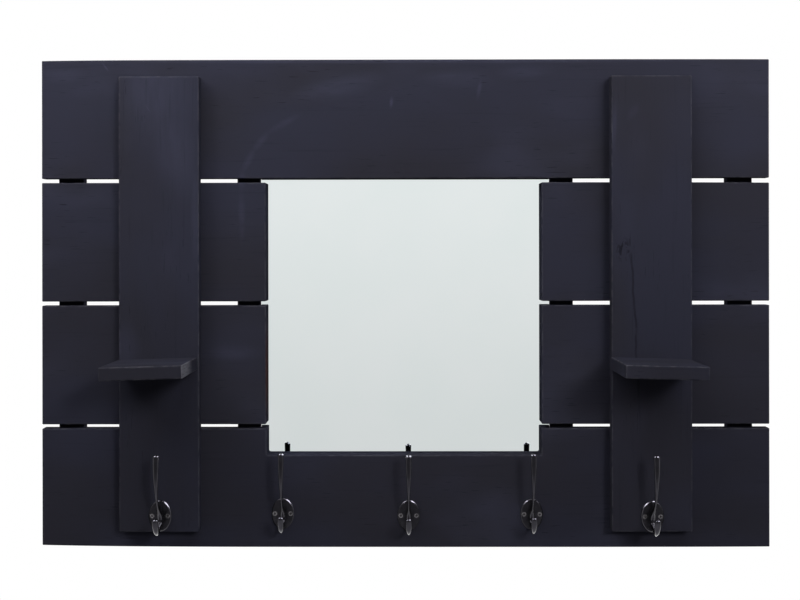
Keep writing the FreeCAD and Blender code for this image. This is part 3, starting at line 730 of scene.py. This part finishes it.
def screw_gunmetal(name):
    """Gunmetal rubbed bright on the screw heads, with painted shade in their recesses."""
    material, tree, shader, place = new_material(name, Metallic=1.0, Roughness=0.24)
    rubbed = rise(tree, field(tree, place, all_round(700), detail=2), 0.35, 0.65)
    head = blend_colours(tree, rubbed, SCREW_DARK, SCREW_RUBBED)
    shifted = calculate(tree, "ADD", split_axes(tree, place)["Y"], SCREW_FACE_SHIFT)
    # Painted shade: the screw heads darken below their faces, in their recesses.
    recess_shade = rise(tree, calculate(tree, "MODULO", shifted, BOARD_STEP), *RECESS_SHADE_DEPTHS)
    tree.links.new(blend_colours(tree, recess_shade, head, SCREW_RECESS_SHADE), shader.inputs["Base Color"])
    return material


def painted_metal(name):
    """Steel under the same slate paint as the timber round it."""
    material, tree, shader, place = new_material(name, Specular_IOR_Level=0.05, Roughness=0.55)
    patches = rise(tree, field(tree, place, all_round(60), detail=2), 0.3, 0.7)
    tree.links.new(blend_colours(tree, patches, PAINT_DEEP, PAINT_BLUE), shader.inputs["Base Color"])
    add_bump(tree, shader, field(tree, place, all_round(900), detail=2), distance=0.0001, strength=0.5)
    return material


def zinc_plate(name):
    """Bright zinc plating with faint crystals."""
    material, tree, shader, place = new_material(name, Metallic=1.0)
    crystals = add_node(tree, "ShaderNodeTexVoronoi", {"Vector": place, "Scale": CRYSTAL_CYCLES})
    grey = rise(tree, crystals.outputs["Distance"], 0.1, 0.8)
    tree.links.new(blend_colours(tree, grey, ZINC_DARK, ZINC_PALE), shader.inputs["Base Color"])
    wear = field(tree, place, all_round(240), detail=3)
    tree.links.new(rise(tree, wear, 0.2, 0.8, low=0.28, high=0.46), shader.inputs["Roughness"])
    add_bump(tree, shader, wear, distance=0.00006, strength=0.6)
    return material


def hardboard(name):
    """Brown pressed board with the fine screen pattern of its rough side."""
    material, tree, shader, place = new_material(name, Specular_IOR_Level=0.25, Roughness=0.78)
    fibres = field(tree, place, all_round(700), detail=4, roughness=0.65)
    blotches = rise(tree, field(tree, place, all_round(14), detail=3), 0.35, 0.65)
    colour = blend_colours(tree, blotches, HARDBOARD_DARK, HARDBOARD_PALE)
    colour = blend_colours(tree, rise(tree, fibres, 0.55, 0.75, high=0.45), colour, HARDBOARD_FIBRE)
    tree.links.new(colour, shader.inputs["Base Color"])
    parts = split_axes(tree, place)
    angles = [calculate(tree, "MULTIPLY", parts[axis], 2 * math.pi / SCREEN_PITCH) for axis in "XZ"]
    screen = calculate(tree, "MULTIPLY", *[calculate(tree, "SINE", angle) for angle in angles])
    height = calculate(tree, "MULTIPLY_ADD", screen, 0.3, fibres)
    add_bump(tree, shader, height, distance=0.0003, strength=0.8)
    return material


# ---------------------------------------------------------------- stage

WHITE = (1, 1, 1, 1)
FLOOR_COLOUR = (0.55, 0.55, 0.55, 1)

# The floor, in metres.
FLOOR_HEIGHT = -1.75
FLOOR_RADIUS = 4.0
FLOOR_SIDES = 96

# Brightness, where the white background is 1. The floor glows differently when it is seen in a mirror,
# and so does the background, below the horizon and to the sides.
AMBIENT = 0.10
FLOOR_GLOW = 0.85
FLOOR_GLOW_REFLECTED = 2.6
REFLECTED_LOW = 0.81
REFLECTED_SIDES = 3.2

# Where the mirrored background changes: at the horizon by a direction's z, and by its y where the sides
# begin from the front and from the back.
HORIZON_FADE = (-0.22, 0.12)
FRONT_FADE = (-0.75, -0.30)
BACK_FADE = (0.60, 0.20)


def unscattered(tree, path):
    """0 for light that reaches a matt surface on its way to the camera, else 1."""
    return calculate(tree, "LESS_THAN", path.outputs["Diffuse Depth"], 0.5)


def mirrored_share(tree, path):
    """1 for a reflection that is itself seen, 0 for light that a mirror throws on to a matt surface."""
    return calculate(tree, "MULTIPLY", path.outputs["Is Glossy Ray"], unscattered(tree, path))


def background(tree, seen, mirrored):
    """Brightness for the rays that show the background: seen straight or through glass, or mirrored."""
    path = tree.nodes.new("ShaderNodeLightPath")
    straight = calculate(tree, "MAXIMUM", path.outputs["Is Camera Ray"], path.outputs["Is Transmission Ray"])
    return calculate(tree, "MAXIMUM", calculate(tree, "MULTIPLY", straight, seen),
                     calculate(tree, "MULTIPLY", mirrored_share(tree, path), mirrored))


def build_world():
    """White behind the object and in reflections, a dim even light on everything else."""
    world = bpy.data.worlds.new("studio")
    world.use_nodes = True
    tree = world.node_tree
    sky = tree.nodes["Background"]
    sky.inputs["Color"].default_value = WHITE
    way = split_axes(tree, tree.nodes.new("ShaderNodeTexCoord").outputs["Generated"])
    front = rise(tree, way["Z"], *HORIZON_FADE, low=REFLECTED_LOW, high=1.0)
    sides = calculate(tree, "MULTIPLY", rise(tree, way["Y"], *FRONT_FADE), rise(tree, way["Y"], *BACK_FADE))
    mirrored = calculate(tree, "MULTIPLY_ADD", sides, REFLECTED_SIDES - 1.0, front)
    strength = calculate(tree, "MAXIMUM", background(tree, 1.0, mirrored), AMBIENT)
    tree.links.new(strength, sky.inputs["Strength"])
    bpy.context.scene.world = world


def build_floor():
    """A pale floor well below the panel. It glows to the background's white and still takes a shadow."""
    points = [Vector((FLOOR_RADIUS * math.cos(turn), FLOOR_RADIUS * math.sin(turn), FLOOR_HEIGHT))
              for turn in turns(FLOOR_SIDES)]
    floor = mesh_piece("floor", points, [tuple(range(FLOOR_SIDES))])
    material, tree, shader, _ = new_material(
        "floor_paint", Specular_IOR_Level=0.0, Roughness=0.9,
        Base_Color=FLOOR_COLOUR, Emission_Color=WHITE)
    glow = background(tree, FLOOR_GLOW, FLOOR_GLOW_REFLECTED)
    tree.links.new(glow, shader.inputs["Emission Strength"])
    floor.data.materials.append(material)


def softbox(name, place, aim, size, power, matt=True, shiny=True):
    """A rectangular lamp facing aim. Matt or shiny surfaces can be left out."""
    lamp = bpy.data.lights.new(name, "AREA")
    lamp.shape = "RECTANGLE"
    lamp.size, lamp.size_y = size
    lamp.energy = power
    stand = place_in_scene(name, lamp)
    stand.location = place
    stand.rotation_euler = (Vector(aim) - Vector(place)).to_track_quat("-Z", "Y").to_euler()
    stand.visible_camera = False
    stand.visible_diffuse = matt
    stand.visible_glossy = shiny
    if not matt:
        lamp.use_nodes = True
        tree = lamp.node_tree
        shown = unscattered(tree, tree.nodes.new("ShaderNodeLightPath"))
        tree.links.new(shown, tree.nodes["Emission"].inputs["Strength"])


def build_lights():
    """Boxes round the front, one far off, a pair behind, and two that only metal and glass show."""
    softbox("left", (-1.0, -0.5, 0.8), (-0.2, 0.0, 0.0), (0.4, 0.4), 4.9)
    softbox("above", (-0.35, -0.5, 0.8), (-0.2, 0.0, 0.1), (0.9, 0.25), 5.1)
    softbox("right", (0.6, -0.35, 0.6), (0.3, 0.0, 0.0), (0.3, 0.3), 2.1)
    softbox("far_right", (2.0, -3.5, 1.5), (0.0, 0.0, 0.0), (1.0, 1.0), 58.0)
    softbox("behind", (0.9, 1.7, 1.1), (0.0, 0.0, 0.0), (1.4, 1.0), 38.0, shiny=False)
    softbox("behind_low", (-1.4, 1.6, -0.2), (0.0, 0.0, 0.0), (1.0, 1.0), 12.0)
    softbox("glint_left", (-0.9, -0.8, 0.9), (0.0, 0.0, -0.2), (0.7, 0.7), 150.0, matt=False)
    softbox("glint_right", (0.9, -0.6, 0.8), (0.0, 0.0, -0.2), (0.9, 1.0), 230.0, matt=False)


def build_camera():
    """The camera in front of the panel."""
    lens = bpy.data.cameras.new("camera")
    lens.sensor_width = SENSOR_WIDTH
    lens.lens = FOCAL_PIXELS * SENSOR_WIDTH / IMAGE_WIDTH
    lens.shift_x, lens.shift_y = CAMERA_SHIFT
    camera = place_in_scene("camera", lens)
    yaw = Matrix.Rotation(CAMERA_YAW, 4, "Z")
    upright = Matrix.Rotation(math.pi / 2, 4, "X")
    roll = Matrix.Rotation(CAMERA_ROLL, 4, "Z")
    camera.matrix_world = Matrix.Translation(CAMERA_PLACE) @ (yaw @ upright @ roll)
    bpy.context.scene.camera = camera


# ---------------------------------------------------------------- the object

# The knot in the right front board: x, z and how far down its grain line ends, in metres.
KNOT = (0.2720, 0.0670, -0.26)

# Marks on the paint, as they lie in the CAD frame: (x, z, half length, half width, turn, strength), in
# metres and degrees from level. The raw cuts are bare wood. The others are milky: the swoop and the small
# scratches are wiped paint, but the broad patches high on the top plank, the line under its upper edge and
# the haze on the upper left front board are painted sheen.
PLANK_SWOOP = (
    (-0.205, 0.080), (-0.206, 0.143), (-0.204, 0.166),
    (-0.190, 0.193), (-0.172, 0.215), (-0.135, 0.236),
)
PLANK_MARKS_AND_SHEEN = stroke(PLANK_SWOOP, half_width=0.0065, strength=0.30) + [
    (-0.085, 0.272, 0.085, 0.020, 13, 0.36),
    (0.063, 0.283, 0.065, 0.016, 0, 0.34),
    (-0.017, 0.253, 0.010, 0.0035, 85, 0.60),
    (0.094, 0.272, 0.020, 0.0040, 80, 0.45),
    (0.150, 0.290, 0.050, 0.012, 5, 0.26),
    (-0.377, 0.298, 0.010, 0.0020, -52, 0.80),
    (-0.215, -0.062, 0.048, 0.013, 0, 0.26),
    (-0.430, 0.288, 0.040, 0.014, 0, 0.22),
    (0.000, 0.3040, 0.470, 0.0035, 0, 0.55),
]
RAW_CUTS = [
    (-0.1745, -0.085, 0.085, 0.0020, 90, 0.9),
]
LEFT_BOARD_SHEEN_AND_SCRATCH = [
    (-0.312, 0.262, 0.080, 0.068, 90, 0.34),
    (-0.288, 0.195, 0.085, 0.036, 103, 0.34),
    (-0.261, 0.110, 0.090, 0.008, 90, 0.30),
    (-0.320, 0.2435, 0.014, 0.0018, -55, 0.55),
]
RIGHT_BOARD_MARKS = [
    (0.260, 0.220, 0.045, 0.0050, 88, 0.34),
    (0.284, 0.238, 0.016, 0.0080, 60, 0.20),
    (0.290, 0.190, 0.060, 0.0200, 85, 0.10),
]


def dress_timber():
    """Puts worn and painted planks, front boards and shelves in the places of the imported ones."""
    plank_paint = painted_timber("plank_paint", "x", milky_and_sheen_marks=PLANK_MARKS_AND_SHEEN, raw_cuts=RAW_CUTS)
    for node in sorted(frame["nodes"]):
        if node.startswith("plank_"):
            plank(node, plank_paint)
    left_paint = painted_timber("board_paint_left", "z", milky_and_sheen_marks=LEFT_BOARD_SHEEN_AND_SCRATCH)
    right_paint = painted_timber("board_paint_right", "z", milky_and_sheen_marks=RIGHT_BOARD_MARKS, knot=KNOT)
    plank("front_board_left", left_paint)
    plank("front_board_right", right_paint)
    shelf_paint = painted_timber("shelf_paint", "x", wear=0.85)
    for side in ("left", "right"):
        shelf(side, shelf_paint)


def dress_nodes():
    """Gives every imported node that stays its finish."""
    finishes = {
        "batten_wood": painted_batten("batten_paint"),
        "mirror": silvered_glass("mirror_silver"),
        "hardboard": hardboard("hardboard_back"),
        "hook_metal": gunmetal("hook_gunmetal"),
        "hook_screw_metal": screw_gunmetal("screw_gunmetal"),
        "zinc_fittings": zinc_plate("zinc"),
        "brad_metal": painted_metal("brad_paint"),
    }
    for node in frame["nodes"].values():
        for slot in node.material_slots:
            name = slot.material.name.split(".")[0]
            if name in finishes:
                slot.material = finishes[name]


bpy.context.scene.view_settings.view_transform = "Standard"
dress_timber()
dress_nodes()
build_world()
build_floor()
build_lights()
build_camera()
